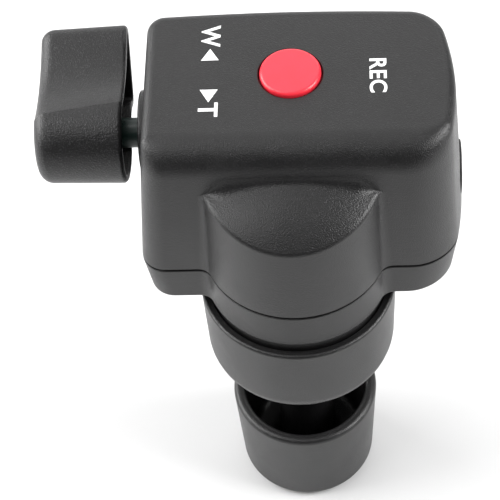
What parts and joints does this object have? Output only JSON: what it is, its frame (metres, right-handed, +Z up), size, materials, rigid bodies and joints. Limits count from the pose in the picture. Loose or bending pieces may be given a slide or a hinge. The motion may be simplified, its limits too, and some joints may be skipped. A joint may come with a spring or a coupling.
{
  "type": "camera zoom remote control",
  "caption": "Pan-bar clamp-on remote with a spring-return zoom thumb knob, a red record button, a cable socket and a screw clamp.",
  "frame": {"origin": "on the axis of the pan bar that the clamp holds, in the plane of the clamp stud", "axes": "+X along the pan bar towards the cable socket, +Y towards the back of the housing, +Z up along the clamp stud"},
  "size_m": [0.0861, 0.0578, 0.1143],
  "materials": {
    "black_plastic": "fine spark-eroded grain, black",
    "dull_plastic": "plain moulded black",
    "red_plastic": "satin red",
    "dark_shaft": "smooth dark green-black",
    "rubber": "matt black, fine ribs",
    "steel": "zinc-plated, satin",
    "brass": "turned, satin",
    "laminate": "green solder mask over glass laminate"
  },
  "bodies": {
    "housing": {"upper_cover": "black_plastic", "lower_cover": "black_plastic", "saddle_pad": "rubber", "switch_body": "dull_plastic", "circuit_board": "laminate", "cable_socket": "dull_plastic", "socket_bezel": "black_plastic", "shaft_bearing": "dull_plastic", "return_spring": "steel", "position_sensor": "dull_plastic", "sensor_board": "laminate", "clamp_stud": "steel", "housing_screw_1": "steel", "housing_screw_2": "steel", "housing_screw_3": "steel", "housing_screw_4": "steel", "board_screw_1": "steel", "board_screw_2": "steel"},
    "thumb_knob": {"zoom_knob": "black_plastic", "zoom_shaft": "dark_shaft", "spring_cam": "dull_plastic"},
    "record_key": {"record_button": "red_plastic", "switch_plunger": "dull_plastic"},
    "jaw": {"clamp_jaw": "black_plastic", "jaw_pad_front": "rubber", "jaw_pad_rear": "rubber"},
    "screw_knob": {"clamp_knob": "black_plastic", "knob_insert": "brass", "thrust_washer": "steel"}
  },
  "joints": [
    {"name": "zoom_turn", "type": "hinge", "parent": "housing", "child": "thumb_knob", "pos_m": [0, -0.0032, 0.0311], "axis": [1, 0, 0], "range_deg": [-30, 30], "stiffness_Nm_per_rad": 0.04, "deforming": ["return_spring"]},
    {"name": "record_press", "type": "slide", "parent": "housing", "child": "record_key", "axis": [0, 0, -1], "range_m": [0, 0.0008], "stiffness_N_per_m": 2000},
    {"name": "jaw_slide", "type": "slide", "parent": "housing", "child": "jaw", "axis": [0, 0, 1], "range_m": [-0.009, 0.002]},
    {"name": "knob_turn", "type": "hinge", "parent": "jaw", "child": "screw_knob", "pos_m": [0, -0.019, -0.0649], "axis": [0, 0, 1], "range_deg": [-3241, 721]}
  ],
  "couplings": [
    {"joint": "knob_turn", "follows": "jaw_slide", "rad_per_m": 6283.2}
  ]
}
